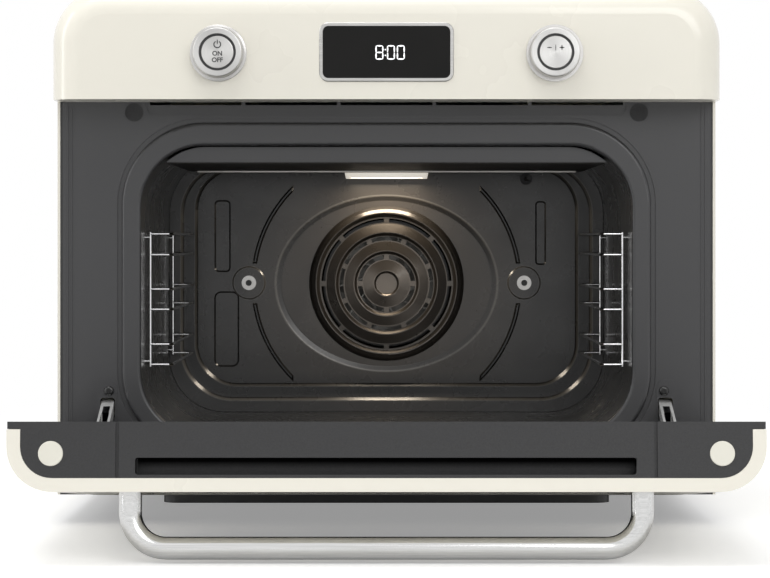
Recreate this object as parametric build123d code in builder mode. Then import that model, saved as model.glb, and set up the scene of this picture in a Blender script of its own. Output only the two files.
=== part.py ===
import os

from build123d import *

os.makedirs("parts", exist_ok=True)

# Millimetres. X runs to the right, Y away from the viewer and Z up.
# The origin is the middle of the footprint, on the plane the feet stand on.

# Casing
case_w = 499.0
case_top = 404.0
case_round = 42.0
wall = 2.0
frame_y = -153.0
frame_t = 2.0
rear_y = 198.0
base_z = 22.0
base_t = 2.0
pan_w = 340.0
pan_bottom = 15.3
half_w = case_w / 2
inner_half = half_w - wall
base_top = base_z + base_t
frame_back = frame_y + frame_t
pan_y = -2.0
pan_d = 296.0
pan_round = 12.0
pan_wall = 1.5
side_slot_h = 46.0
side_slot_w = 3.0
side_slot_count = 12
side_slot_pitch = 8.0
side_slot_y = 110.0
side_slot_rows = (130.0, 250.0)
foot_x = half_w - 52.5
foot_r = 8.5
foot_front_y = -120.0
foot_rear_y = 160.0
foot_places = [(x, y) for x in (-foot_x, foot_x) for y in (foot_front_y, foot_rear_y)]
bulge_w = 330.0
bulge_h = 230.0
bulge_z = 190.0
bulge_out = 3.0
inlet_place = (180.0, 52.0)
inlet_r = 9.0
cord_r = 4.2
case_screw_x = half_w - 14.5
case_screw_places = [(x, z) for x in (-case_screw_x, case_screw_x) for z in (60.0, 200.0, 330.0)]
case_screw_head = 1.8

# Control panel
panel_front = -200.0
panel_bottom = 319.6
panel_round = 21.0
panel_wall = 3.0
panel_back = frame_y - 0.4
panel_inner = panel_front + panel_wall
panel_low = panel_bottom + panel_wall
knob_x = 124.8
knob_z = 353.7
display_z = 354.5
display_w = 100.0
display_h = 44.0
display_round = 7.0
bezel_w = 2.6
bezel_proud = 1.0
glass_front = panel_front - 0.6
knob_places = [(-knob_x, knob_z), (knob_x, knob_z)]
collar_r = 21.1
collar_t = 2.4
ring_r = 18.9
ring_depth = 11.2
sleeve_r = 13.7
button_r = 12.0
button_front = panel_front - 13.2

# Mouth of the cavity and the moulded ring round it
mouth_half = half_w - 63.4
mouth_low = 67.4
mouth_high = 286.7
mouth_round = 47.5
mouth_h = mouth_high - mouth_low
mouth_z = (mouth_high + mouth_low) / 2
ring_half = mouth_half + 14.5
ring_low = mouth_low - 14.5
ring_high = mouth_high + 17.4
ring_round = mouth_round + 14.5
ring_proud = 3.0
groove = 3.6
vent_x = 72.4
vent_w = 69.6
vent_h = 3.9
vent_z = 319.25
frame_top = 333.0
side_rib_z = 172.0
side_rib_h = 290.0
bumper_place_x = half_w - 58.0
bumper_place_z = 311.8
bumper_r = 6.9

# Cavity
liner_t = 1.2
back_y = 137.0
back_t = 3.0
step_w = 2 * mouth_half - 24.2
step_h = 199.0
step_z = 179.5
step_round = 42.0
step_rise = 2.5
dish_w = 95.5
dish_h = 75.7
dish_slope = 4.5
dish_depth = 1.0
pockets = ((-141, 218.4, 14, 62, 4), (-137.5, 138.4, 21.5, 65, 6), (132.6, 221, 9.4, 55, 3))
pocket_depth = 1.4
rib_r = 114.5
rib_h = 1.2
pad_x = 118.3
pad_r = 14.4
pad_proud = 1.0
ceiling_z = 273.5
ceiling_t = 1.2
lamp_y = 114.0
lamp_w = 72.0
lamp_d = 26.0
lamp_top = 274.6
heater_r = 3.2
probe_x = 120.0
probe_z = 267.5

# Wire supports
rack_x = mouth_half - 3.1
rack_front_y = -107.0
rack_rear_y = 127.5
rack_low = 117.0
rack_h = 104.0
rack_reach = 16.6
wire_r = 1.1
peg_places = [(y, z) for y in (rack_front_y, rack_rear_y) for z in (217.0, 121.0)]
support_z = (219.7, 203.6, 176.9, 161.2, 134.2, 118.5)

# Fan
fan_z = 177.7
flange_r = 66.5
cover_y = 130.4
cover_steps = ((0, 0), (9.2, 0), (10.5, -1.6), (20, 0.6), (25.4, 0.8), (27.8, -0.9), (36, 1.4), (41, 1.6),
               (43.6, -0.4), (51.6, 2.6), (57.2, 2.9), (60.4, 0.4), (64, 2.4))
cover_slot_rings = ((55.9, 52.4, 54, 8, 0), (40.4, 37, 38.5, 8, 22.5), (24.6, 20.8, 22.5, 4, 0))
drum_r = 68.0
drum_depth = 26.0
shaft_r = 3.0
run_fit = 0.06
cover_t = 1.5
fan_hole_r = 63.0

# Cooling blower
blower_y = 92.0
blower_z = 345.0
blower_r = 32.0
blower_shaft_r = 2.0
duct_z = 321.5
duct_h = 15.0
tray_z = 301.0

# Door, described closed and then swung open about the hinge line
door_low = 24.0
door_high = 317.0
door_inner = -154.0
door_outer = -200.0
pin_y = (door_inner + door_outer) / 2
pin_z = 47.0
pin_r = 4.0
open_deg = 84.5
turn_r = pin_y * -1 + door_inner
skin_t = 9.0
skin_back = -159.0
skin_round = 30.0
skin_gap = 0.2
core_half = half_w - skin_t - skin_gap
core_front = door_outer + skin_t + skin_gap
pocket_half = half_w - 43.5
pocket_y = -158.5
pocket_r = pocket_y - pin_y
window_half = half_w - 79.5
window_low = 88.0
window_high = 262.0
window_round = 14.0
window_z = (window_low + window_high) / 2
window_h = window_high - window_low
glass_w = 2 * pocket_half - 11.0
glass_h = 236.0
glass_z = 176.0
plug_x = half_w - 29.1
plug_places = [(-plug_x, -174.9), (plug_x, -174.9)]
plug_r = 8.2
end_slot_w = 329.0
end_slot_d = 11.2
end_slot_y = -183.2
seam_x = half_w - 72.7
hinge_line = Axis((0, pin_y, pin_z), (1, 0, 0))

# Handle
tube_r = 7.6
handle_half = half_w - 79.0
handle_bend = 24.0
handle_out = 37.0
handle_z = door_high - 32.0

# Hinge arms
arm_x = ring_half + 10.8
arm_w = 9.6
arm_h = 9.0
arm_len = 82.0
arm_pin_y = pin_y + 14.0
arm_pin_z = pin_z + 42.0
arm_pin_r = 2.5
arm_closed_deg = -15.0
arm_turn = 0.4
bracket_x = arm_x + 14.6
bracket_w = 4.0
arm_slot_w = 11.2
arm_slot_h = 16.4
arm_slot_round = 2.5
arm_slot_z = 87.2
arm_pad_w = 16.6
arm_pad_h = 58.0
arm_pad_z = 80.0
frame_screw_x = arm_x - 1.0
frame_screw_z = 100.6


def front(y):
    """Sketch plane facing the viewer at the depth y."""
    return Plane.XZ.offset(-y)


def save(builder, name):
    builder.part.label = name
    export_step(builder.part, "parts/" + name + ".step")


def save_open(builder, name):
    """The door pieces are drawn closed and leave the file swung open."""
    with BuildPart() as swung:
        add(builder.part.rotate(hinge_line, open_deg))
    save(swung, name)


def outline_top(width, low, high, radius):
    """Upright rectangle with its two top corners rounded."""
    with Locations((0, (low + high) / 2)):
        Rectangle(width, high - low)
    fillet(vertices().group_by(Axis.Y)[-1], radius)


# Casing

with BuildPart() as outer_wrap:
    with BuildSketch(front(rear_y)):
        outline_top(case_w, base_z, case_top, case_round)
    extrude(amount=rear_y - frame_y)
    with BuildSketch(front(rear_y)):
        outline_top(case_w - 2 * wall, base_z - 5, case_top - wall, case_round - wall)
    extrude(amount=rear_y - frame_y, mode=Mode.SUBTRACT)
    with BuildSketch(Plane.YZ):
        with Locations([(side_slot_y, z) for z in side_slot_rows]):
            with GridLocations(side_slot_pitch, 0, side_slot_count, 1):
                SlotOverall(side_slot_h, side_slot_w, rotation=90)
    extrude(amount=half_w + 5, both=True, mode=Mode.SUBTRACT)
save(outer_wrap, "outer_wrap")

with BuildPart() as base_plate:
    with BuildSketch(Plane.XY.offset(base_z)):
        with Locations((0, (frame_y + rear_y) / 2)):
            Rectangle(2 * inner_half, rear_y - frame_y)
    extrude(amount=base_t)
    with BuildSketch(Plane.XY.offset(base_z)):
        with Locations((0, pan_y)):
            RectangleRounded(pan_w, pan_d, pan_round)
    extrude(amount=pan_bottom - base_z)
    with BuildSketch(Plane.XY.offset(base_top)):
        with Locations((0, pan_y)):
            RectangleRounded(pan_w - 4, pan_d - 4, pan_round - 2)
    extrude(amount=pan_bottom + pan_wall - base_top, mode=Mode.SUBTRACT)
    with BuildSketch(Plane.XY.offset(pan_bottom - 1)):
        with GridLocations(40, 60, 7, 4):
            SlotOverall(30, 3)
    extrude(amount=6, mode=Mode.SUBTRACT)
save(base_plate, "base_plate")

with BuildPart() as rear_cover:
    with BuildSketch(front(rear_y)):
        outline_top(case_w, base_z, case_top, case_round)
    extrude(amount=-wall)
    with BuildSketch(front(rear_y + wall)):
        with Locations((0, bulge_z)):
            RectangleRounded(bulge_w, bulge_h, 20)
    extrude(amount=-bulge_out, taper=30)
    with BuildSketch(front(rear_y)):
        with Locations((0, bulge_z)):
            RectangleRounded(bulge_w - 8, bulge_h - 8, 18)
    extrude(amount=-bulge_out - 0.2, mode=Mode.SUBTRACT)
    with BuildSketch(front(rear_y - 1)):
        with Locations((0, 356)):
            with GridLocations(9, 0, 34, 1):
                SlotOverall(40, 3, rotation=90)
        with Locations((0, 240)):
            with GridLocations(12, 0, 20, 1):
                SlotOverall(side_slot_h, side_slot_w, rotation=90)
        with Locations(inlet_place):
            Circle(inlet_r)
    extrude(amount=-10, mode=Mode.SUBTRACT)
save(rear_cover, "rear_cover")

with BuildPart() as feet:
    with BuildSketch():
        with Locations(foot_places):
            Circle(foot_r)
    extrude(amount=base_z)
    chamfer(feet.edges().filter_by(GeomType.CIRCLE).group_by(Axis.Z)[0], 1.0)
save(feet, "feet")

with BuildPart() as mains_inlet:
    with BuildSketch(front(rear_y - 8)):
        with Locations(inlet_place):
            Circle(inlet_r - 0.1)
            Circle(cord_r, mode=Mode.SUBTRACT)
    extrude(amount=-20)
    with BuildSketch(front(rear_y + wall)):
        with Locations(inlet_place):
            Circle(inlet_r + 4)
            Circle(cord_r, mode=Mode.SUBTRACT)
    extrude(amount=-4)
save(mains_inlet, "mains_inlet")

with BuildPart() as case_screws:
    with BuildSketch(front(rear_y + wall)):
        with Locations(case_screw_places):
            Circle(4)
    extrude(amount=-case_screw_head)
    fillet(case_screws.edges().filter_by(GeomType.CIRCLE).group_by(Axis.Y)[-1], 1.2)
    with BuildSketch(front(rear_y + wall + case_screw_head)):
        with Locations(case_screw_places):
            Rectangle(5, 0.9)
            Rectangle(0.9, 5)
    extrude(amount=0.9, mode=Mode.SUBTRACT)
save(case_screws, "case_screws")

# Control panel

with BuildPart() as control_panel:
    with BuildSketch(front(panel_back)):
        outline_top(case_w, panel_bottom, case_top, case_round)
    extrude(amount=panel_back - panel_front)
    rim = control_panel.faces().sort_by(Axis.Y)[0].edges().sort_by(Axis.Z)[1:]
    fillet(rim, panel_round)
    with BuildSketch(front(panel_back)):
        outline_top(case_w - 2 * panel_wall, panel_low, case_top - panel_wall, case_round - panel_wall)
    extrude(amount=15, mode=Mode.SUBTRACT)
    with BuildSketch(front(panel_back)):
        outline_top(case_w - 2 * panel_round, panel_low, case_top - panel_round - 2, case_round - panel_round)
    extrude(amount=panel_back - panel_inner, mode=Mode.SUBTRACT)
    with BuildSketch(front(panel_front - 2)):
        with Locations(knob_places):
            Circle(sleeve_r + 0.1)
        with Locations((0, display_z)):
            RectangleRounded(display_w - 3, display_h - 3, display_round - 1)
    extrude(amount=-20, mode=Mode.SUBTRACT)
save(control_panel, "control_panel")

with BuildPart() as display_bezel:
    with BuildSketch(front(panel_front)):
        with Locations((0, display_z)):
            RectangleRounded(display_w, display_h, display_round)
            RectangleRounded(display_w - 2 * bezel_w, display_h - 2 * bezel_w, display_round - bezel_w,
                             mode=Mode.SUBTRACT)
    extrude(amount=bezel_proud)
    chamfer(display_bezel.faces().sort_by(Axis.Y)[0].outer_wire().edges(), 0.6)
    with BuildSketch(front(panel_front)):
        with Locations((0, display_z)):
            RectangleRounded(display_w - 3.2, display_h - 3.2, display_round - 1.2)
            RectangleRounded(display_w - 2 * bezel_w, display_h - 2 * bezel_w, display_round - bezel_w,
                             mode=Mode.SUBTRACT)
    extrude(amount=-4.5)
    with BuildSketch(front(panel_front + 4.5)):
        with Locations((0, display_z)):
            RectangleRounded(display_w - 3.2, display_h - 3.2, display_round - 1.2)
            RectangleRounded(display_w - 9, display_h - 9, display_round - 3, mode=Mode.SUBTRACT)
    extrude(amount=1)
save(display_bezel, "display_bezel")

with BuildPart() as display_glass:
    with BuildSketch(front(panel_front + 3.5)):
        with Locations((0, display_z)):
            RectangleRounded(display_w - 2 * bezel_w - 0.2, display_h - 2 * bezel_w - 0.2,
                             display_round - bezel_w - 0.1)
    extrude(amount=panel_front + 3.5 - glass_front)
save(display_glass, "display_glass")

with BuildPart() as control_board:
    with BuildSketch(front(panel_inner + 10)):
        with Locations((0, display_z)):
            Rectangle(170, 52)
    extrude(amount=-1.6)
    with BuildSketch(front(panel_inner + 10)):
        with Locations((0, display_z)):
            with GridLocations(150, 44, 2, 2):
                Circle(2.5)
    extrude(amount=10)
    with BuildSketch(front(panel_inner + 11.6)):
        with Locations((-50, display_z), (20, display_z), (60, display_z)):
            Rectangle(22, 22)
    extrude(amount=-5)
save(control_board, "control_board")

with BuildPart() as knob_collars:
    with BuildSketch(front(panel_front)):
        with Locations(knob_places):
            Circle(collar_r)
            Circle(button_r + run_fit, mode=Mode.SUBTRACT)
    extrude(amount=collar_t)
    chamfer(knob_collars.faces().sort_by(Axis.Y)[0].outer_wire().edges(), 0.8)
    chamfer(knob_collars.faces().sort_by(Axis.Y)[0].outer_wire().edges(), 0.8)
    with BuildSketch(front(panel_front + 10)):
        with Locations(knob_places):
            Circle(sleeve_r)
            Circle(button_r + run_fit, mode=Mode.SUBTRACT)
    extrude(amount=21)
save(knob_collars, "knob_collars")


def save_knob(x, side):
    """Turned ring with a tapered rim, and the round push button that slides in its collar."""
    with BuildPart() as ring:
        with BuildSketch(front(panel_front - collar_t - 0.4)):
            with Locations((x, knob_z)):
                Circle(ring_r)
        extrude(amount=ring_depth, taper=4)
        fillet(ring.faces().sort_by(Axis.Y)[0].edges(), 1.0)
        with BuildSketch(front(panel_front)):
            with Locations((x, knob_z)):
                Circle(sleeve_r + run_fit)
        extrude(amount=20, mode=Mode.SUBTRACT)
    save(ring, "knob_ring_" + side)
    with BuildPart() as button:
        with BuildSketch(front(panel_front + 7)):
            with Locations((x, knob_z)):
                Circle(button_r)
        extrude(amount=panel_front + 7 - button_front)
        fillet(button.faces().sort_by(Axis.Y)[0].edges(), 0.6)
    save(button, "knob_button_" + side)


save_knob(-knob_x, "left")
save_knob(knob_x, "right")

with BuildPart() as encoders:
    with BuildSketch(front(panel_front + 20)):
        with Locations(knob_places):
            Rectangle(28, 28)
    extrude(amount=10)
save(encoders, "encoders")

# Front frame round the mouth

with BuildPart() as front_frame:
    with BuildSketch(front(frame_back)):
        with Locations((0, (base_top + frame_top) / 2)):
            Rectangle(2 * inner_half - 4, frame_top - base_top)
    extrude(amount=frame_t)
    with BuildSketch(front(frame_y)):
        with Locations((-half_w + 7.5, side_rib_z), (half_w - 7.5, side_rib_z)):
            Rectangle(1.2, side_rib_h)
        with Locations((-half_w + 10.5, side_rib_z), (half_w - 10.5, side_rib_z)):
            Rectangle(1.0, side_rib_h)
    extrude(amount=0.7)
    with BuildSketch(front(frame_back)):
        with Locations((-inner_half + 1.5, 176), (inner_half - 1.5, 176)):
            Rectangle(3, 300)
    extrude(amount=-12)
    with BuildSketch(front(frame_y)):
        with Locations((0, (ring_high + ring_low) / 2)):
            RectangleRounded(2 * (ring_half + groove), ring_high - ring_low + 2 * groove, ring_round + groove)
    extrude(amount=-1.2, mode=Mode.SUBTRACT)
    with BuildSketch(front(frame_back - 0.8)):
        with Locations((0, (ring_high + ring_low) / 2)):
            RectangleRounded(2 * ring_half, ring_high - ring_low, ring_round)
    extrude(amount=frame_t - 0.8 + ring_proud)
    fillet(front_frame.faces().sort_by(Axis.Y)[0].edges(), 2.9)
    with BuildSketch(front(frame_y - 10)):
        with Locations((0, mouth_z)):
            RectangleRounded(2 * mouth_half, mouth_h, mouth_round)
    extrude(amount=-20, mode=Mode.SUBTRACT)
    fillet(front_frame.edges(Select.LAST).group_by(Axis.Y)[0], 2.6)
    with BuildSketch(front(frame_y)):
        with Locations((0, 319.9)):
            RectangleRounded(364, 20.2, 6)
    extrude(amount=-1, mode=Mode.SUBTRACT)
    with BuildSketch(front(frame_y)):
        with Locations((0, vent_z)):
            with GridLocations(vent_x, 0, 5, 1):
                Rectangle(vent_w, vent_h)
    extrude(amount=-4, mode=Mode.SUBTRACT)
    with BuildSketch(front(frame_y)):
        with Locations((-arm_x - 1.5, arm_pad_z), (arm_x + 1.5, arm_pad_z)):
            RectangleRounded(arm_pad_w, arm_pad_h, 7)
    extrude(amount=0.6)
    with BuildSketch(front(frame_y - 2)):
        with Locations((-arm_x, arm_slot_z), (arm_x, arm_slot_z)):
            RectangleRounded(arm_slot_w, arm_slot_h, arm_slot_round)
        with Locations((-bracket_x, pin_z), (bracket_x, pin_z)):
            Rectangle(bracket_w + 0.2, 14.4)
    extrude(amount=-6, mode=Mode.SUBTRACT)
save(front_frame, "front_frame")

with BuildPart() as frame_screws:
    with BuildSketch(front(frame_y - 0.6)):
        with Locations((-frame_screw_x, frame_screw_z), (frame_screw_x, frame_screw_z)):
            Circle(3.8)
    extrude(amount=2.4)
    fillet(frame_screws.edges().filter_by(GeomType.CIRCLE).group_by(Axis.Y)[0], 2.0)
save(frame_screws, "frame_screws")

with BuildPart() as door_bumpers:
    with BuildSketch(front(frame_y)):
        with Locations((-bumper_place_x, bumper_place_z), (bumper_place_x, bumper_place_z)):
            Circle(bumper_r)
    extrude(amount=0.7)
save(door_bumpers, "door_bumpers")

# Cavity

with BuildPart() as cavity_liner:
    with BuildSketch(front(back_y)):
        with Locations((0, mouth_z)):
            RectangleRounded(2 * (mouth_half + liner_t), mouth_h + 2 * liner_t, mouth_round + liner_t)
            RectangleRounded(2 * mouth_half, mouth_h, mouth_round, mode=Mode.SUBTRACT)
    extrude(amount=back_y - frame_back)
    with BuildSketch(front(frame_back + liner_t)):
        with Locations((0, mouth_z)):
            RectangleRounded(2 * (mouth_half + 9), mouth_h + 18, mouth_round + 9)
            RectangleRounded(2 * mouth_half, mouth_h, mouth_round, mode=Mode.SUBTRACT)
    extrude(amount=liner_t)
    with BuildSketch(Plane.YZ):
        with Locations(peg_places):
            Circle(wire_r + 0.2)
    extrude(amount=mouth_half + 10, both=True, mode=Mode.SUBTRACT)
save(cavity_liner, "cavity_liner")

with BuildPart() as cavity_back:
    with BuildSketch(front(back_y)):
        with Locations((0, mouth_z)):
            RectangleRounded(2 * (mouth_half + liner_t), mouth_h + 2 * liner_t, mouth_round + liner_t)
    extrude(amount=-back_t)
    with BuildSketch(front(back_y)):
        with Locations((0, mouth_z)):
            RectangleRounded(2 * mouth_half - 0.6, mouth_h - 0.6, mouth_round - 0.3)
    extrude(amount=2 * step_rise)
    with BuildSketch(front(back_y - step_rise)):
        with Locations((0, step_z)):
            RectangleRounded(step_w, step_h, step_round)
    extrude(amount=step_rise + 0.5, taper=-45, mode=Mode.SUBTRACT)
    with BuildSketch(front(back_y)):
        with Locations((0, step_z + 4)):
            RectangleRounded(step_w - 24, step_h - 16, step_round - 8)
    extrude(amount=step_rise + 0.2, taper=-45, mode=Mode.SUBTRACT)
    with BuildSketch(front(back_y + dish_depth)):
        with Locations((0, fan_z)):
            Ellipse(dish_w - dish_slope, dish_h - dish_slope)
    with BuildSketch(front(back_y)):
        with Locations((0, fan_z)):
            Ellipse(dish_w, dish_h)
    loft(mode=Mode.SUBTRACT)
    with BuildSketch(front(back_y)):
        for x, z, width, height, corner in pockets:
            with Locations((x, z)):
                RectangleRounded(width, height, corner)
    extrude(amount=-pocket_depth, taper=45, mode=Mode.SUBTRACT)
    for side in (-1, 1):
        with BuildSketch(front(back_y)):
            with Locations((0, fan_z)):
                Circle(rib_r + 2)
                Circle(rib_r - 2, mode=Mode.SUBTRACT)
                with Locations((side * -70, 0)):
                    Rectangle(300, 400, mode=Mode.SUBTRACT)
                with Locations((side * 100, 0)):
                    Rectangle(80, 34, mode=Mode.SUBTRACT)
        extrude(amount=rib_h, taper=50)
    with BuildSketch(front(back_y)):
        with Locations((-pad_x, fan_z + 0.5), (pad_x, fan_z + 0.5)):
            Circle(pad_r)
    extrude(amount=pad_proud, taper=50)
    with BuildSketch(front(back_y - 10)):
        with Locations((0, fan_z)):
            Circle(fan_hole_r)
    extrude(amount=-20, mode=Mode.SUBTRACT)
save(cavity_back, "cavity_back")

with BuildPart() as back_screws:
    with BuildSketch(front(back_y - pad_proud)):
        with Locations((-pad_x, fan_z + 0.5), (pad_x, fan_z + 0.5)):
            Circle(6.2)
    extrude(amount=1.2)
    with BuildSketch(front(back_y - 2.2)):
        with Locations((-pad_x, fan_z + 0.5), (pad_x, fan_z + 0.5)):
            Circle(4.2)
            RegularPolygon(2.2, 6, mode=Mode.SUBTRACT)
    extrude(amount=2.4)
save(back_screws, "back_screws")

with BuildPart() as fan_drum:
    with BuildSketch(front(back_y + back_t)):
        with Locations((0, fan_z)):
            Circle(drum_r)
    extrude(amount=-drum_depth)
    with BuildSketch(front(back_y + back_t)):
        with Locations((0, fan_z)):
            Circle(drum_r - 1.5)
    extrude(amount=1.5 - drum_depth, mode=Mode.SUBTRACT)
    with BuildSketch(front(back_y + back_t)):
        with Locations((0, fan_z)):
            Circle(shaft_r + run_fit)
    extrude(amount=-drum_depth, mode=Mode.SUBTRACT)
save(fan_drum, "fan_drum")

with BuildPart() as fan_cover:
    with BuildSketch(Plane.XY.offset(fan_z)):
        with BuildLine():
            face = [(r, cover_y + rise) for r, rise in cover_steps]
            rear = [(r, y + cover_t) for r, y in reversed(face[:-1])]
            FilletPolyline(face + [(flange_r, back_y - 0.5)], radius=1.2)
            Polyline((flange_r, back_y - 0.5), (flange_r, back_y + 1), (flange_r - 2, back_y + 1))
            FilletPolyline([(flange_r - 2, back_y + 1)] + rear, radius=1.2)
            Line((0, cover_y + cover_t), (0, cover_y))
        make_face()
    revolve(axis=Axis((0, 0, fan_z), (0, 1, 0)))
    for outer, inner, middle, bridges, start in cover_slot_rings:
        with BuildSketch(front(back_y - 10)):
            with Locations((0, fan_z)):
                Circle(outer)
                Circle(inner, mode=Mode.SUBTRACT)
                with PolarLocations(middle, bridges, start):
                    Rectangle(12, 4.5, mode=Mode.SUBTRACT)
        extrude(amount=-10, mode=Mode.SUBTRACT)
save(fan_cover, "fan_cover")

with BuildPart() as fan_impeller:
    with BuildSketch(front(back_y + 20)):
        with Locations((0, fan_z)):
            Circle(49)
            Circle(shaft_r, mode=Mode.SUBTRACT)
    extrude(amount=1)
    with BuildSketch(front(back_y + 20)):
        with Locations((0, fan_z)):
            Circle(7)
            Circle(shaft_r, mode=Mode.SUBTRACT)
    extrude(amount=12)
    with BuildSketch(front(back_y + 19)):
        with Locations((0, fan_z)):
            with PolarLocations(33, 10):
                Rectangle(30, 1.2, rotation=18)
    extrude(amount=13)
save(fan_impeller, "fan_impeller")

with BuildPart() as fan_shaft:
    with BuildSketch(front(back_y + 5)):
        with Locations((0, fan_z)):
            Circle(shaft_r)
    extrude(amount=-30)
save(fan_shaft, "fan_shaft")

with BuildPart() as fan_motor:
    with BuildSketch(front(back_y + back_t + drum_depth)):
        with Locations((0, fan_z)):
            Circle(26)
    extrude(amount=-24)
    with BuildSketch(front(back_y + back_t + drum_depth)):
        with Locations((0, fan_z)):
            Rectangle(86, 14)
    extrude(amount=-3)
    with BuildSketch(front(back_y + back_t + drum_depth)):
        with Locations((0, fan_z)):
            Circle(shaft_r + run_fit)
    extrude(amount=-12, mode=Mode.SUBTRACT)
save(fan_motor, "fan_motor")

with BuildPart() as ring_heater:
    with BuildSketch(Plane.YZ):
        with Locations((back_y + 12, fan_z + 58)):
            Circle(heater_r)
    revolve(axis=Axis((0, 0, fan_z), (0, 1, 0)), revolution_arc=360)
    with BuildSketch(front(back_y + 12)):
        with Locations((-6, fan_z + 58), (6, fan_z + 58)):
            Circle(heater_r)
    extrude(amount=-15.5)
save(ring_heater, "ring_heater")

with BuildPart() as ceiling_plate:
    with BuildSketch(Plane.XY.offset(ceiling_z)):
        with Locations((0, -9)):
            Rectangle(334, 276)
        with Locations((0, lamp_y)):
            Rectangle(lamp_w + 2, lamp_d + 5, mode=Mode.SUBTRACT)
    extrude(amount=ceiling_t)
    with BuildSketch(front(-146)):
        with Locations((0, 278)):
            Rectangle(312, 9)
    extrude(amount=1.2)
    with BuildSketch(Plane.XY.offset(ceiling_z + 0.5)):
        with Locations((-120, -120), (120, -120), (-120, 90), (120, 90)):
            Circle(4)
    extrude(amount=mouth_high - ceiling_z - 0.5)
save(ceiling_plate, "ceiling_plate")

with BuildPart() as lamp_lens:
    with BuildSketch(Plane.XY.offset(lamp_top)):
        with Locations((0, lamp_y)):
            RectangleRounded(lamp_w, lamp_d, 4)
    extrude(amount=-7.2, taper=12)
save(lamp_lens, "lamp_lens")

with BuildPart() as lamp_housing:
    with BuildSketch(Plane.XY.offset(lamp_top)):
        with Locations((0, lamp_y)):
            RectangleRounded(lamp_w + 1.6, lamp_d + 4, 4)
            RectangleRounded(lamp_w - 6, lamp_d - 4, 3, mode=Mode.SUBTRACT)
    extrude(amount=mouth_high - lamp_top)
save(lamp_housing, "lamp_housing")

with BuildPart() as top_heater:
    with BuildLine(Plane.XY.offset(281)) as top_path:
        FilletPolyline(
            (-130, 108), (-130, -100), (-90, -100), (-90, 60), (-50, 60), (-50, -100),
            (50, -100), (50, 60), (90, 60), (90, -100), (130, -100), (130, 108), radius=18)
    with BuildSketch(Plane(origin=(-130, 108, 281), z_dir=(0, -1, 0))):
        Circle(heater_r)
    sweep(path=top_path.line)
    with BuildSketch(front(back_y - 30)):
        with Locations((-130, 281), (130, 281)):
            Rectangle(12, 11.2)
            Circle(heater_r, mode=Mode.SUBTRACT)
    extrude(amount=6)
save(top_heater, "top_heater")

with BuildPart() as bottom_heater:
    with BuildLine(Plane.XY.offset(61)) as low_path:
        FilletPolyline(
            (-120, 110), (-120, -90), (-50, -90), (-50, 70), (50, 70), (50, -90), (120, -90), (120, 110),
            radius=22)
    with BuildSketch(Plane(origin=(-120, 110, 61), z_dir=(0, -1, 0))):
        Circle(heater_r)
    sweep(path=low_path.line)
    with BuildSketch(front(100)):
        with Locations((-120, 60.7), (120, 60.7)):
            Rectangle(10, 11)
            with Locations((0, 0.3)):
                Circle(heater_r, mode=Mode.SUBTRACT)
    extrude(amount=6)
save(bottom_heater, "bottom_heater")


def save_rack(side, name):
    """Chrome wire shelf support: two uprights and six bent runners, held by four pegs in the wall."""
    x = side * rack_x
    bend_x = x - side * (rack_reach - 2.4)
    run_x = x - side * rack_reach
    with BuildPart() as rack:
        with BuildSketch(Plane.XY.offset(rack_low)):
            with Locations((x, rack_front_y), (x, rack_rear_y)):
                Circle(wire_r)
        extrude(amount=rack_h)
        for z in support_z:
            with BuildLine(Plane.XY.offset(z)) as run:
                Polyline(
                    (x, rack_front_y), (bend_x, rack_front_y), (run_x, rack_front_y + 3.5),
                    (run_x, rack_rear_y - 3.5), (bend_x, rack_rear_y), (x, rack_rear_y))
            with BuildSketch(Plane(origin=(x, rack_front_y, z), z_dir=(side * -1, 0, 0))):
                Circle(wire_r)
            sweep(path=run.line, transition=Transition.RIGHT)
        with BuildSketch(Plane.YZ.offset(x)):
            with Locations(peg_places):
                Circle(wire_r)
        extrude(amount=side * 4.2)
    save(rack, name)


save_rack(-1, "side_rack_left")
save_rack(1, "side_rack_right")

with BuildPart() as temperature_probe:
    with BuildSketch(front(back_y)):
        with Locations((probe_x, probe_z)):
            Circle(2)
    extrude(amount=60)
    with BuildSketch(front(back_y)):
        with Locations((probe_x, probe_z)):
            Circle(5)
    extrude(amount=3)
save(temperature_probe, "temperature_probe")

with BuildPart() as insulation:
    with BuildSketch(front(136)):
        with Locations((0, 171)):
            RectangleRounded(400, 260, 60)
        with Locations((0, (55 + 288.1) / 2)):
            RectangleRounded(2 * 187.4, 288.1 - 55, 48.4, mode=Mode.SUBTRACT)
    extrude(amount=280)
save(insulation, "insulation")

# Cooling air and electrics above the cavity

with BuildPart() as air_duct:
    with BuildSketch(front(60)):
        with Locations((0, duct_z)):
            Rectangle(362, duct_h)
            Rectangle(359.6, duct_h - 2.4, mode=Mode.SUBTRACT)
    extrude(amount=60 - frame_back)
    with BuildSketch(Plane.XY.offset(tray_z)):
        with Locations((-150, -60), (150, -60), (-150, 40), (150, 40)):
            Rectangle(12, 12)
    extrude(amount=13)
save(air_duct, "air_duct")

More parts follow.
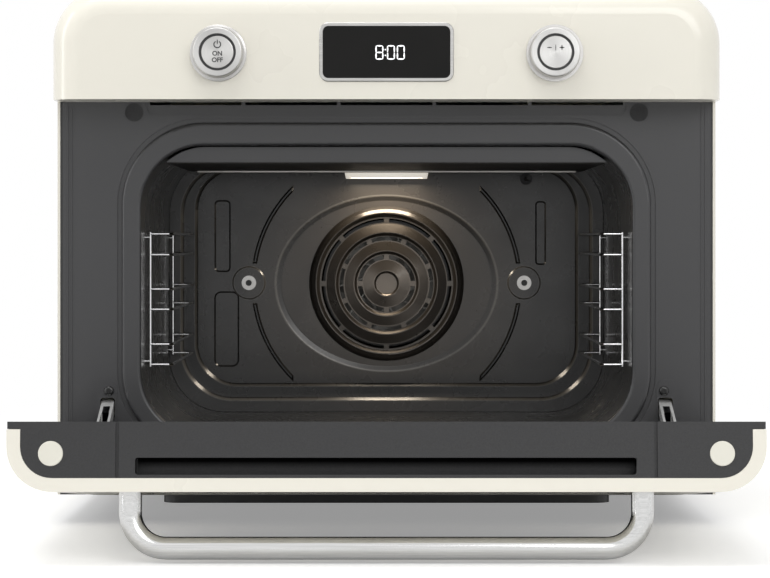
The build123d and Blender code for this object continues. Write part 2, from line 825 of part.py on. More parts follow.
with BuildPart() as blower_housing:
    with BuildSketch(Plane.YZ.offset(-105)):
        with Locations((blower_y, blower_z)):
            Circle(blower_r)
        with Locations((blower_y - 16, duct_z)):
            Rectangle(blower_r, duct_h)
    extrude(amount=210)
    with BuildSketch(Plane.YZ.offset(-103)):
        with Locations((blower_y, blower_z)):
            Circle(blower_r - 2)
        with Locations((blower_y - 22, duct_z)):
            Rectangle(40, duct_h - 2.6)
    extrude(amount=206, mode=Mode.SUBTRACT)
    with BuildSketch(Plane.YZ.offset(-110)):
        with Locations((blower_y, blower_z)):
            Circle(blower_shaft_r + run_fit)
    extrude(amount=220, mode=Mode.SUBTRACT)
    with BuildSketch(Plane.XY.offset(374)):
        with Locations((0, blower_y)):
            Rectangle(150, 26)
    extrude(amount=12, mode=Mode.SUBTRACT)
    with BuildSketch(Plane.XY.offset(tray_z)):
        with Locations((-90, blower_y), (90, blower_y)):
            Rectangle(14, 20)
    extrude(amount=13)
save(blower_housing, "blower_housing")

with BuildPart() as blower_rotor:
    with BuildSketch(Plane.YZ.offset(-98)):
        with Locations((blower_y, blower_z)):
            with PolarLocations(22.5, 18):
                Rectangle(7, 0.9, rotation=35)
    extrude(amount=196)
    with BuildSketch(Plane.YZ.offset(-98)):
        with Locations((blower_y, blower_z)):
            Circle(26)
    extrude(amount=1.2)
    with BuildSketch(Plane.YZ.offset(96.8)):
        with Locations((blower_y, blower_z)):
            Circle(26)
    extrude(amount=1.2)
    with BuildSketch(Plane.YZ.offset(-130)):
        with Locations((blower_y, blower_z)):
            Circle(blower_shaft_r)
    extrude(amount=236)
save(blower_rotor, "blower_rotor")

with BuildPart() as blower_motor:
    with BuildSketch(Plane.YZ.offset(-135)):
        with Locations((blower_y, blower_z)):
            Circle(22)
    extrude(amount=30)
    with BuildSketch(Plane.YZ.offset(-132)):
        with Locations((blower_y, blower_z)):
            Circle(blower_shaft_r + run_fit)
    extrude(amount=27, mode=Mode.SUBTRACT)
save(blower_motor, "blower_motor")

with BuildPart() as power_board:
    with BuildSketch(Plane.XY.offset(335)):
        with Locations((60, -70)):
            Rectangle(150, 90)
    extrude(amount=1.6)
    with BuildSketch(Plane.XY.offset(329)):
        with Locations((60, -70)):
            with GridLocations(130, 74, 2, 2):
                Circle(3)
    extrude(amount=6)
    with BuildSketch(Plane.XY.offset(336.6)):
        with Locations((20, -80), (70, -60)):
            Rectangle(26, 24)
        with Locations((110, -85)):
            Circle(9)
    extrude(amount=20)
save(power_board, "power_board")

# Hinge brackets fixed behind the frame

with BuildPart() as hinge_brackets:
    for side in (-1, 1):
        with BuildSketch(Plane.YZ.offset(side * bracket_x - bracket_w / 2)):
            with Locations((pin_y, pin_z)):
                Circle(7)
            with Locations(((pin_y + frame_back) / 2, pin_z)):
                Rectangle(frame_back - pin_y, 14)
        extrude(amount=bracket_w)
        with BuildSketch(front(frame_back + 3)):
            with Locations((side * (bracket_x + 4), pin_z)):
                Rectangle(22, 30)
        extrude(amount=3)
        with BuildSketch(Plane.YZ.offset(side * bracket_x - 11)):
            with Locations((pin_y, pin_z)):
                Circle(pin_r)
        extrude(amount=22)
save(hinge_brackets, "hinge_brackets")

# Door, drawn closed


def door_side(inner_y, turn):
    """Side profile of a door block: flat outside, turned about the pin at its lower inner edge."""
    with Locations(((door_outer + inner_y) / 2, (pin_z + door_high) / 2)):
        Rectangle(inner_y - door_outer, door_high - pin_z)
    with Locations(((door_outer + pin_y) / 2, (pin_z + door_low) / 2)):
        Rectangle(pin_y - door_outer, pin_z - door_low)
    with Locations((pin_y, pin_z)):
        Circle(turn)


with BuildPart() as door_skin:
    with BuildSketch(Plane.XY.offset(door_low)):
        with BuildLine():
            Polyline((-half_w, door_outer + skin_round), (-half_w, skin_back), (half_w, skin_back),
                     (half_w, door_outer + skin_round))
            RadiusArc((half_w, door_outer + skin_round), (half_w - skin_round, door_outer), skin_round)
            Line((half_w - skin_round, door_outer), (skin_round - half_w, door_outer))
            RadiusArc((skin_round - half_w, door_outer), (-half_w, door_outer + skin_round), skin_round)
        make_face()
    extrude(amount=door_high - door_low)
    inner_r = skin_round - skin_t
    inner_x = half_w - skin_t
    inner_y = door_outer + skin_t
    with BuildSketch(Plane.XY.offset(door_low - 1)):
        with BuildLine():
            Polyline((-inner_x, inner_y + inner_r), (-inner_x, skin_back + 1), (inner_x, skin_back + 1),
                     (inner_x, inner_y + inner_r))
            RadiusArc((inner_x, inner_y + inner_r), (inner_x - inner_r, inner_y), inner_r)
            Line((inner_x - inner_r, inner_y), (inner_r - inner_x, inner_y))
            RadiusArc((inner_r - inner_x, inner_y), (-inner_x, inner_y + inner_r), inner_r)
        make_face()
    extrude(amount=door_high - door_low + 2, mode=Mode.SUBTRACT)
    with BuildSketch(Plane.YZ.offset(-half_w - 1)):
        door_side(door_inner, turn_r)
    extrude(amount=case_w + 2, mode=Mode.INTERSECT)
    with BuildSketch(front(door_outer - 1)):
        with Locations((0, window_z)):
            RectangleRounded(2 * window_half, window_h, window_round)
    extrude(amount=-20, mode=Mode.SUBTRACT)
save_open(door_skin, "door_skin")

with BuildPart() as door_core:
    with BuildSketch(Plane.XY.offset(door_low)):
        with BuildLine():
            Polyline((-core_half, core_front + inner_r), (-core_half, skin_back), (core_half, skin_back),
                     (core_half, core_front + inner_r))
            RadiusArc((core_half, core_front + inner_r), (core_half - inner_r, core_front), inner_r)
            Line((core_half - inner_r, core_front), (inner_r - core_half, core_front))
            RadiusArc((inner_r - core_half, core_front), (-core_half, core_front + inner_r), inner_r)
        make_face()
        with Locations((0, (skin_back + 0.3 + door_inner) / 2)):
            Rectangle(case_w - 1, door_inner - skin_back - 0.3)
        with Locations((0, skin_back)):
            Rectangle(2 * core_half, 2)
    extrude(amount=door_high - door_low)
    with BuildSketch(Plane.YZ.offset(-half_w)):
        door_side(door_inner, turn_r)
    extrude(amount=case_w, mode=Mode.INTERSECT)
    with BuildSketch(Plane.YZ.offset(-pocket_half)):
        with Locations(((pocket_y + door_inner) / 2 + 2, (door_low + 309) / 2)):
            Rectangle(door_inner - pocket_y + 4, 309 - door_low + 2)
        with Locations(((pin_y + door_inner) / 2 + 2, (pin_z + door_low) / 2 - 1)):
            Rectangle(door_inner - pin_y + 4, pin_z - door_low + 2)
        with Locations((pin_y, pin_z)):
            Circle(pocket_r, mode=Mode.SUBTRACT)
    extrude(amount=2 * pocket_half, mode=Mode.SUBTRACT)
    with BuildSketch(front(door_outer)):
        with Locations((0, window_z)):
            RectangleRounded(2 * window_half - 8, window_h - 8, window_round - 4)
    extrude(amount=-60, mode=Mode.SUBTRACT)
    with BuildSketch(front(pocket_y + 1)):
        with Locations((0, glass_z)):
            RectangleRounded(glass_w, glass_h, window_round)
    extrude(amount=5.2, mode=Mode.SUBTRACT)
    with BuildSketch(Plane.XY.offset(door_high)):
        with Locations((-0.5, end_slot_y)):
            RectangleRounded(end_slot_w, end_slot_d, 2)
    extrude(amount=-14, mode=Mode.SUBTRACT)
    with BuildSketch(Plane.XY.offset(door_high)):
        with Locations((-seam_x, -174), (seam_x, -174)):
            Rectangle(2.2, 60)
    extrude(amount=-1.5, mode=Mode.SUBTRACT)
    with BuildSketch(Plane.XY.offset(door_high)):
        with Locations(plug_places):
            Circle(plug_r + 0.1)
    extrude(amount=-6, mode=Mode.SUBTRACT)
    for side in (-1, 1):
        with BuildSketch(Plane.YZ.offset(side * bracket_x - 4)):
            with Locations((pin_y + 7, pin_z - 8.5)):
                Rectangle(32, 34)
        extrude(amount=8, mode=Mode.SUBTRACT)
        with BuildSketch(Plane.YZ.offset(side * bracket_x - 11.5)):
            with Locations((pin_y, pin_z)):
                Circle(pin_r + run_fit)
        extrude(amount=23, mode=Mode.SUBTRACT)
        with BuildSketch(Plane.YZ.offset(side * (arm_x + 0.1) - 5.5)):
            with Locations((-160, 79)):
                Rectangle(24, 54)
        extrude(amount=11, mode=Mode.SUBTRACT)
        with BuildSketch(Plane.YZ.offset(side * arm_x - 8.1)):
            with Locations((arm_pin_y, arm_pin_z)):
                Circle(arm_pin_r + run_fit)
        extrude(amount=16.2, mode=Mode.SUBTRACT)
save_open(door_core, "door_core")

with BuildPart() as door_plugs:
    with BuildSketch(Plane.XY.offset(door_high - 6)):
        with Locations(plug_places):
            Circle(plug_r)
    extrude(amount=6.8)
    fillet(door_plugs.edges().filter_by(GeomType.CIRCLE).group_by(Axis.Z)[-1], 0.6)
save_open(door_plugs, "door_plugs")

with BuildPart() as door_outer_glass:
    with BuildSketch(front(door_outer + skin_t + 0.1)):
        with Locations((0, window_z)):
            RectangleRounded(2 * window_half - 0.6, window_h - 0.6, window_round - 0.3)
    extrude(amount=skin_t - 0.4)
save_open(door_outer_glass, "door_outer_glass")

with BuildPart() as door_inner_glass:
    with BuildSketch(front(pocket_y - 0.2)):
        with Locations((0, glass_z)):
            RectangleRounded(glass_w - 0.6, glass_h - 0.6, window_round - 0.3)
    extrude(amount=4)
save_open(door_inner_glass, "door_inner_glass")

with BuildPart() as door_seal:
    with BuildSketch(front(pocket_y - 0.2)):
        with Locations((0, (ring_low + ring_high) / 2)):
            RectangleRounded(2 * ring_half - 5.2, ring_high - ring_low - 24, 56)
            RectangleRounded(2 * ring_half - 19.2, ring_high - ring_low - 38, 50, mode=Mode.SUBTRACT)
    extrude(amount=-2.3)
save_open(door_seal, "door_seal")

with BuildPart() as handle_bar:
    with BuildSketch(Plane.YZ.offset(-handle_half + handle_bend)):
        with Locations((door_outer - handle_out, handle_z)):
            Circle(tube_r)
    extrude(amount=2 * (handle_half - handle_bend))
save_open(handle_bar, "handle_bar")

with BuildPart() as handle_corners:
    for side in (-1, 1):
        leg_x = side * handle_half
        bend_x = side * (handle_half - handle_bend)
        bar_y = door_outer - handle_out
        with BuildLine(Plane.XY.offset(handle_z)) as corner_path:
            Line((leg_x, door_outer), (leg_x, bar_y + handle_bend))
            RadiusArc((leg_x, bar_y + handle_bend), (bend_x, bar_y), side * handle_bend)
        with BuildSketch(Plane(origin=(leg_x, door_outer, handle_z), z_dir=(0, -1, 0))):
            Circle(tube_r)
        sweep(path=corner_path.line)
save_open(handle_corners, "handle_corners")


# Hinge arms, drawn closed along their own line and turned to the open pose


def save_arm(side, name):
    """Two chrome legs joined by webs, with a hook that stops the door and a cross pin."""
    inner = arm_w / 2 - 1.8
    left = side * arm_x - arm_w / 2
    with BuildPart() as flat_arm:
        with BuildSketch(Plane.YZ.offset(left)):
            with Locations((arm_pin_y + arm_len / 2, arm_pin_z)):
                SlotOverall(arm_len + arm_h, arm_h)
            with Locations((arm_pin_y + arm_len - 4, arm_pin_z - 5)):
                Rectangle(8, 9)
        extrude(amount=arm_w)
        with BuildSketch(Plane.YZ.offset(side * arm_x - inner)):
            with Locations((arm_pin_y + 20, arm_pin_z)):
                Rectangle(60, 30)
            with Locations((arm_pin_y + 61, arm_pin_z - 3)):
                Rectangle(12, 9)
        extrude(amount=2 * inner, mode=Mode.SUBTRACT)
        with BuildSketch(Plane.YZ.offset(side * arm_x - 8)):
            with Locations((arm_pin_y, arm_pin_z)):
                Circle(arm_pin_r)
        extrude(amount=16)
    pin_line = Axis((0, arm_pin_y, arm_pin_z), (1, 0, 0))
    closed = flat_arm.part.rotate(pin_line, arm_closed_deg)
    carried = closed.rotate(pin_line, (arm_turn - 1) * open_deg)
    with BuildPart() as arm:
        add(carried.rotate(hinge_line, open_deg))
    save(arm, name)


save_arm(-1, "hinge_arm_left")
save_arm(1, "hinge_arm_right")
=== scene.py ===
import math

import bmesh
import bpy
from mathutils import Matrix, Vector


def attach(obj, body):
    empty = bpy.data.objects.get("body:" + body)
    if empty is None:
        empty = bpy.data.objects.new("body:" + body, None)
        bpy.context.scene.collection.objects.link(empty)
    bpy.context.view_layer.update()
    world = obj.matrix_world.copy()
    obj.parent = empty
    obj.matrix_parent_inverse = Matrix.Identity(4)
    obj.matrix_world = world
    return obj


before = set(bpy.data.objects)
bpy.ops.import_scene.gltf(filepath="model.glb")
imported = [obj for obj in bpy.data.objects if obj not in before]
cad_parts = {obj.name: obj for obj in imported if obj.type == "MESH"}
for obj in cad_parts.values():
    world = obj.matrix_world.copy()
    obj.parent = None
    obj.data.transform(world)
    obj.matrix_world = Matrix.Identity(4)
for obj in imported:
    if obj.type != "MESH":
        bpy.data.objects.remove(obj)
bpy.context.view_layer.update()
print("frame loaded:", len(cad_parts), "nodes")

mm = 0.001
knobX, knobZ = 0.1248, 0.3537  # middle of each knob
fanZ = 0.1777  # height of the fan's axis
screwX, screwZ = 0.1183, 0.1782  # screws at the back wall


# Small shader helpers

class Wire:
    # one socket with arithmetic on it
    def __init__(self, graph, socket):
        self.graph = graph
        self.socket = socket

    def math(self, operation, *others):
        return self.graph.node("ShaderNodeMath", {"operation": operation}, {0: self, **{
            i + 1: other for i, other in enumerate(others)}})

    def __add__(self, other):
        return self.math("ADD", other)

    def __radd__(self, other):
        return self.math("ADD", other)

    def __sub__(self, other):
        return self.math("SUBTRACT", other)

    def __rsub__(self, other):
        return (self * -1.0) + other

    def __mul__(self, other):
        return self.math("MULTIPLY", other)

    def __rmul__(self, other):
        return self.math("MULTIPLY", other)

    def __truediv__(self, other):
        return self.math("DIVIDE", other)

    def __pow__(self, other):
        return self.math("POWER", other)


class Graph:
    # a material and the nodes behind its Principled shader
    def __init__(self, name):
        self.material = bpy.data.materials.new(name)
        self.material.use_nodes = True
        self.tree = self.material.node_tree
        self.shader = self.tree.nodes["Principled BSDF"]

    def node(self, kind, settings=None, inputs=None, output=0):
        made = self.tree.nodes.new(kind)
        for key, value in (settings or {}).items():
            setattr(made, key, value)
        for key, value in (inputs or {}).items():
            self.feed(made.inputs[key], value)
        return Wire(self, made.outputs[output])

    def feed(self, socket, value):
        if isinstance(value, Wire):
            self.tree.links.new(value.socket, socket)
        else:
            socket.default_value = value

    def place(self, scale=(1, 1, 1), shift=(0, 0, 0)):
        # the piece's own coordinates in metres
        where = self.node("ShaderNodeTexCoord", output=3)
        return self.node("ShaderNodeMapping", {}, {"Vector": where, "Location": shift, "Scale": scale})

    def noise(self, place, scale, detail=3.0, rough=0.5):
        return self.node("ShaderNodeTexNoise", {}, {
            "Vector": place, "Scale": scale, "Detail": detail, "Roughness": rough})

    def spread(self, value, low, high, outLow, outHigh):
        return self.node("ShaderNodeMapRange", {"clamp": True}, {
            "Value": value, "From Min": low, "From Max": high, "To Min": outLow, "To Max": outHigh})

    def blend(self, value, first, second):
        # from the first value to the second over the middle of a noise
        return self.spread(value, 0.3, 0.7, first, second)

    def mix(self, factor, colourA, colourB):
        # sockets 0, 6, 7 and 2 are the ones a mix of colours uses
        return self.node("ShaderNodeMix", {"data_type": "RGBA"}, {0: factor, 6: colourA, 7: colourB}, 2)

    def tint(self, factor, look, first="colour", second="shade"):
        return self.mix(factor, rgba(look[first]), rgba(look[second]))

    def off(self, value):
        # how far the value is from nought, either way
        return (value * value) ** 0.5

    def apart(self, x, z):
        return ((x * x) + (z * z)) ** 0.5

    def bump(self, height, strength, distance=0.0005):
        return self.node("ShaderNodeBump", {}, {"Height": height, "Strength": strength, "Distance": distance})

    def part(self, axis, place):
        return self.node("ShaderNodeSeparateXYZ", {}, {"Vector": place}, "XYZ".index(axis))

    def finish(self, **sockets):
        # a socket's name has an underscore for each space
        for name, value in sockets.items():
            self.feed(self.shader.inputs[name.replace("_", " ")], value)
        return self.material


def rgba(colour):
    return (*colour, 1.0)


# Finishes

def bakedEnamel(name, look):
    # sprayed and baked paint: faint orange peel, a little unevenness in gloss, dust in the pores
    g = Graph(name)
    place = g.place()
    peel = g.noise(place, look["peel"], 2.0)
    cloud = g.spread(g.noise(place, 9.0, 4.0), 0.1, 0.9, 0.0, 1.0)
    speck = g.spread(g.noise(place, 2600.0, 1.0), 0.62, 0.78, 0.0, look["speck"])
    colour = g.mix(speck, g.tint(cloud, look), rgba(look["pore"]))
    rough = g.spread(cloud, 0.0, 1.0, look["rough"] - 0.03, look["rough"] + 0.03)
    return g.finish(Base_Color=colour, Roughness=rough, Normal=g.bump(peel, look["bump"]),
                    Coat_Weight=look["coat"], Coat_Roughness=0.12)


def cavityEnamel(name, look):
    # vitreous enamel: black brown, glossy, pale flecks, with a painted sheen round the fan that fades to
    # painted shade in the corners
    g = Graph(name)
    place = g.place()
    away = g.apart(g.part("X", place), g.part("Z", place) - fanZ)
    # painted sheen: lighter and warmer near the fan's axis, painted shade further out
    warm = g.spread(away, 0.02, 0.16, 1.0, 0.0)
    flecks = g.spread(g.noise(place, 900.0, 2.0), 0.66, 0.74, 0.0, 1.0)
    flow = g.noise(place, 14.0, 4.0, 0.6)
    colour = g.mix(flecks * 0.35, g.tint(warm, look, "colour", "warm"), rgba(look["fleck"]))
    rough = g.blend(flow, look["rough"] - 0.06, look["rough"] + 0.1)
    return g.finish(Base_Color=colour, Roughness=rough, Normal=g.bump(flow + flecks * 0.2, 0.12),
                    Coat_Weight=look["coat"], Coat_Roughness=0.1)


def fanEnamel(name, look):
    # the same enamel with a painted brown sheen, lightest at the middle of the fan, and rings of haze about
    # the fan
    g = Graph(name)
    place = g.place(shift=(0.0, 0.0, -fanZ))
    radius = g.apart(g.part("X", place), g.part("Z", place))
    haze = g.noise(place, 22.0, 4.0, 0.6)
    flecks = g.spread(g.noise(place, 1100.0, 2.0), 0.66, 0.76, 0.0, 0.3)
    # painted sheen: lightest and warmest at the middle, darker towards the rim
    paintedSheen = g.spread(radius, 0.0, look["reach"], 1.0, 0.0)
    colour = g.mix(flecks, g.tint(paintedSheen, look, "colour", "warm"), rgba(look["fleck"]))
    metal = g.spread(radius, look["reach"] * 0.4, look["reach"], look["metal"], look["metal"] * 0.4)
    rough = g.blend(haze, look["rough"] - 0.05, look["rough"] + 0.07)
    return g.finish(Base_Color=colour, Metallic=metal, Roughness=rough, Normal=g.bump(haze + flecks, 0.06),
                    Coat_Weight=0.3, Coat_Roughness=0.12)


def backWall(name, look):
    # pressed back wall: a painted brown sheen about the fan, painted shade on the ledges and in the grooves,
    # and painted highlights along the pressed edges
    g = Graph(name)
    place = g.place(shift=(0.0, 0.0, -fanZ))
    x = g.part("X", place)
    z = g.part("Z", place)
    wide = g.off(x)
    radius = g.apart(x, z)

    def frameEdge(size, corner, lift):
        # distance outside a rounded rectangle
        overX = (wide - (size[0] / 2 - corner)).math("MAXIMUM", 0.0)
        overZ = (g.off(z - lift) - (size[1] / 2 - corner)).math("MAXIMUM", 0.0)
        return g.apart(overX, overZ) - corner

    def near(distance, middle, reach):
        return g.spread(g.off(distance - middle), reach * 0.4, reach, 1.0, 0.0)

    outer = frameEdge(look["outer"], look["outerCorner"], look["outerLift"])
    inner = frameEdge(look["inner"], look["innerCorner"], look["innerLift"])
    dish = ((x / look["dish"][0]) ** 2.0 + (z / look["dish"][1]) ** 2.0) ** 0.5
    pad = g.apart(wide - screwX, z - (screwZ - fanZ))
    haze = g.noise(place, 22.0, 4.0, 0.6)
    flecks = g.spread(g.noise(place, 1100.0, 2.0), 0.66, 0.76, 0.0, 0.25)
    # painted sheen about the fan
    paintedSheen = g.spread(radius + haze * 0.02, 0.05, look["reach"], 1.0, 0.0)
    # painted shade on the flat ledge between the two steps
    ledgeShade = g.spread(outer, -4 * mm, 0.0, 1.0, 0.0) * g.spread(inner, -10 * mm, 4 * mm, 0.0, 1.0)
    # painted shade: dark lines along the ribs and a dark band just inside the dish's rim
    rib = near(radius, look["rib"], 2.2 * mm) * g.spread(wide, *look["ribX"], 0.0, 1.0)
    rib = rib * g.spread(g.off(z), *look["ribZ"], 0.0, 1.0)
    shaded = (rib + near(dish, 0.965, 0.03) * 0.6).math("MINIMUM", 1.0)
    # painted highlights: pale lines along the steps, the dish's rim, the screw pads and the ribs
    paintedEdgeLight = near(outer, 2 * mm, 1.6 * mm) + near(inner, 2 * mm, 1.4 * mm) * 0.6
    paintedEdgeLight = paintedEdgeLight + near(dish, 1.0, 0.014) * 0.7
    paintedEdgeLight = paintedEdgeLight + near(pad, look["padR"], 1.2 * mm) * 0.8
    paintedEdgeLight = paintedEdgeLight + near(radius, look["rib"] + 2.2 * mm, 0.8 * mm) * rib
    colour = g.tint(paintedSheen, look, "colour", "warm")
    colour = g.mix(ledgeShade * 0.9, colour, rgba(look["shadeTone"]))
    colour = g.mix(shaded, colour, rgba(look["shadeTone"]))
    colour = g.mix((paintedEdgeLight * look["edge"]).math("MINIMUM", 1.0), colour, rgba(look["pale"]))
    colour = g.mix(flecks, colour, rgba(look["fleck"]))
    rough = g.blend(haze, look["rough"] - 0.05, look["rough"] + 0.07)
    return g.finish(Base_Color=colour, Metallic=paintedSheen * look["metal"], Roughness=rough,
                    Normal=g.bump(haze + flecks, 0.06), Coat_Weight=0.3, Coat_Roughness=0.12)


def collarSteel(name, look):
    # two turned pieces, left and right: steel outside, painted shade down the recessed middle
    g = Graph(name)
    place = g.place(shift=(0.0, 0.0, -look["z"]))
    x = g.part("X", place).math("ABSOLUTE") - look["x"]
    radius = g.apart(x, g.part("Z", place))
    along = g.node("ShaderNodeCombineXYZ", {}, {"X": radius * 60.0})
    rings = g.noise(along, 55.0, 3.0, 0.65)
    steel = g.tint(g.spread(rings, 0.35, 0.65, 0.0, 1.0), look)
    # painted shade: the recessed middle is dark and not metal
    sleeve = g.spread(radius, look["sleeve"], look["sleeve"] + 0.2 * mm, 1.0, 0.0)
    return g.finish(Base_Color=g.mix(sleeve, steel, rgba(look["dark"])), Metallic=1.0 - sleeve,
                    Roughness=g.blend(rings, 0.24, 0.36), Normal=g.bump(rings, 0.2, 0.1 * mm))


def brushedSteel(name, look):
    # long fine scratches along one axis
    g = Graph(name)
    place = g.place(scale=look["grain"])
    lines = g.noise(place, 900.0, 3.0, 0.6)
    rough = g.blend(g.noise(place, 120.0, 2.0), look["rough"] - 0.05, look["rough"] + 0.07)
    return g.finish(Base_Color=g.tint(g.blend(lines, 0.0, 1.0), look), Metallic=1.0, Roughness=rough,
                    Normal=g.bump(lines, look["bump"], 0.2 * mm))


def turnedSteel(name, look):
    # face turned on a lathe: rings about the knob's own axis, and a painted sheen in sectors round it
    g = Graph(name)
    place = g.place(shift=(-look["x"], 0.0, -knobZ))
    x = g.part("X", place)
    z = g.part("Z", place)
    along = g.node("ShaderNodeCombineXYZ", {}, {"X": g.apart(x, z) * 60.0, "Y": g.part("Y", place) * 60.0})
    rings = g.noise(along, 55.0, 3.0, 0.65)
    # painted sheen: two lighter and two darker sectors round the knob's axis
    sheen = (x.math("ARCTAN2", z) * 2.0 + look["turn"]).math("COSINE")
    tone = g.tint(g.spread(sheen, -1.0, 1.0, 0.0, 1.0), look)
    tone = g.mix(g.spread(rings, 0.35, 0.65, 0.0, 0.45), tone, rgba(look["line"]))
    return g.finish(Base_Color=tone, Metallic=1.0, Roughness=g.blend(rings, 0.26, 0.38),
                    Normal=g.bump(rings, 0.25, 0.1 * mm))


def chromeWire(name, look):
    # bright plating with a soft ripple and a few dull spots
    g = Graph(name)
    place = g.place()
    ripple = g.noise(place, 160.0, 2.0)
    dull = g.spread(g.noise(place, 60.0, 3.0), 0.55, 0.75, look["rough"], look["rough"] + 0.18)
    return g.finish(Base_Color=g.tint(g.blend(ripple, 0.0, 1.0), look), Metallic=1.0, Roughness=dull,
                    Normal=g.bump(ripple, 0.08, 0.2 * mm))


def channelSteel(name, look):
    # plated arm, folded to a channel: bright flanges and painted shade down the middle
    g = Graph(name)
    place = g.place()
    ripple = g.noise(place, 160.0, 2.0)
    aside = g.off(g.off(g.part("X", place)) - look["x"])
    # painted shade in the channel, stopping short of the arm's end
    shaded = g.spread(aside, look["half"], look["half"] + 0.6 * mm, 1.0, 0.0)
    shaded = shaded * g.spread(g.part("Y", place), look["end"] - 1 * mm, look["end"], 1.0, 0.0)
    colour = g.mix(shaded, g.tint(g.blend(ripple, 0.0, 1.0), look), rgba(look["paintedShade"]))
    metal = g.spread(shaded, 0.0, 1.0, look["metal"], 1.0)
    return g.finish(Base_Color=colour, Metallic=metal, Roughness=look["rough"],
                    Normal=g.bump(ripple, 0.08, 0.2 * mm))


def zincSheet(name, look):
    # galvanised sheet with its spangle
    g = Graph(name)
    flakes = g.node("ShaderNodeTexVoronoi", {}, {"Vector": g.place(), "Scale": 160.0}, 1)
    tone = g.node("ShaderNodeRGBToBW", {}, {"Color": flakes})
    return g.finish(Base_Color=g.tint(tone, look), Metallic=0.9,
                    Roughness=g.spread(tone, 0.0, 1.0, 0.34, 0.5))


def polishedGlass(name, look):
    # faint smears in the gloss
    g = Graph(name)
    smear = g.noise(g.place(), 18.0, 4.0, 0.6)
    return g.finish(Base_Color=g.tint(g.blend(smear, 0.0, 1.0), look), IOR=1.5,
                    Roughness=g.spread(smear, 0.35, 0.75, 0.03, 0.1), Transmission_Weight=look["clear"],
                    Specular_IOR_Level=look["shine"])


def lampGlass(name, look):
    # frosted lens lit from behind, brightest in the middle
    g = Graph(name)
    place = g.place()
    frost = g.noise(place, 700.0, 2.0)
    middle = g.spread(g.off(g.part("X", place)), 0.0, look["half"], 1.0, 0.72)
    colour = g.tint(middle, look, "edge", "colour")
    return g.finish(Base_Color=colour, Emission_Color=colour, Emission_Strength=look["glow"], Roughness=0.45,
                    Normal=g.bump(frost, 0.3, 0.2 * mm))


def mouldedPlastic(name, look):
    # spark eroded texture of a moulded piece
    g = Graph(name)
    place = g.place()
    grain = g.noise(place, look["grain"], 3.0, 0.6)
    cloud = g.blend(g.noise(place, 30.0, 3.0), 0.0, 1.0)
    rough = g.blend(grain, look["rough"] - 0.08, look["rough"] + 0.08)
    return g.finish(Base_Color=g.tint(cloud, look), Roughness=rough,
                    Normal=g.bump(grain, look["bump"], 0.4 * mm))


def slottedMoulding(name, look):
    # door moulding with painted shade in its long end slot, darkest towards the top
    g = Graph(name)
    place = g.place()
    x = g.off(g.part("X", place))
    y = g.part("Y", place)
    z = g.part("Z", place)
    grain = g.noise(place, look["grain"], 3.0, 0.6)
    inside = g.spread(x, look["slotHalf"] - 0.5 * mm, look["slotHalf"], 1.0, 0.0)
    inside = inside * g.spread(y, look["slotY"], look["slotY"] + 1 * mm, 0.0, 1.0)
    inside = inside * g.spread(y, look["slotY"] + 20 * mm, look["slotY"] + 21 * mm, 1.0, 0.0)
    inside = inside * g.spread(z, look["slotTop"] + 0.5 * mm, look["slotTop"], 0.0, 1.0)
    # painted shade in the slot, darker towards its top
    depth = inside * g.spread(z, look["slotTop"] - 8 * mm, look["slotTop"] - 3 * mm, 0.25, 1.0)
    colour = g.mix(depth, g.tint(g.blend(grain, 0.0, 1.0), look), rgba(look["paintedShade"]))
    rough = g.blend(grain, look["rough"] - 0.08, look["rough"] + 0.08)
    return g.finish(Base_Color=colour, Metallic=depth, Roughness=rough,
                    Normal=g.bump(grain, look["bump"], 0.4 * mm))


def glowPlastic(name, look):
    # lit digit segments
    g = Graph(name)
    glow = g.blend(g.noise(g.place(), 600.0, 2.0), 0.85, 1.0)
    colour = g.tint(glow, look, "shade", "colour")
    return g.finish(Base_Color=colour, Emission_Color=colour, Emission_Strength=look["glow"], Roughness=0.4)


creamLook = {"colour": (0.85, 0.82, 0.725), "shade": (0.844, 0.813, 0.717), "pore": (0.72, 0.68, 0.56),
             "speck": 0.02, "peel": 260.0, "rough": 0.28, "bump": 0.006, "coat": 0.5}
darkLook = {"colour": (0.040, 0.040, 0.042), "shade": (0.035, 0.035, 0.037), "pore": (0.12, 0.12, 0.12),
            "speck": 0.12, "peel": 520.0, "rough": 0.36, "bump": 0.04, "coat": 0.2}
# the door moulding's darkest colour is painted shade in the slot
doorLook = {"colour": (0.024, 0.024, 0.025), "shade": (0.019, 0.019, 0.020), "grain": 900.0, "rough": 0.52,
            "bump": 0.14, "paintedShade": (0.002, 0.002, 0.002), "slotHalf": 0.1645, "slotTop": 0.0719,
            "slotY": -0.4465}
# the fan's warm colour is a painted sheen
fanLook = {"colour": (0.042, 0.038, 0.034), "warm": (0.17, 0.145, 0.12), "fleck": (0.3, 0.28, 0.25),
           "rough": 0.3, "metal": 0.8, "reach": 0.085}
# the back wall's near black is painted shade, its pale tone painted highlight and its warm colour a painted
# sheen
backLook = {"colour": (0.026, 0.025, 0.024), "warm": (0.085, 0.073, 0.061), "fleck": (0.2, 0.19, 0.17),
            "shadeTone": (0.005, 0.005, 0.005), "pale": (0.26, 0.245, 0.22), "rough": 0.27, "metal": 0.5,
            "edge": 0.6, "reach": 0.15, "outer": (0.348, 0.199), "outerCorner": 0.042, "outerLift": 0.0018,
            "inner": (0.324, 0.183), "innerCorner": 0.034, "innerLift": 0.0058, "dish": (0.0955, 0.0757),
            "padR": 0.0138, "rib": 0.1145, "ribX": (0.079, 0.081), "ribZ": (0.0165, 0.0175)}
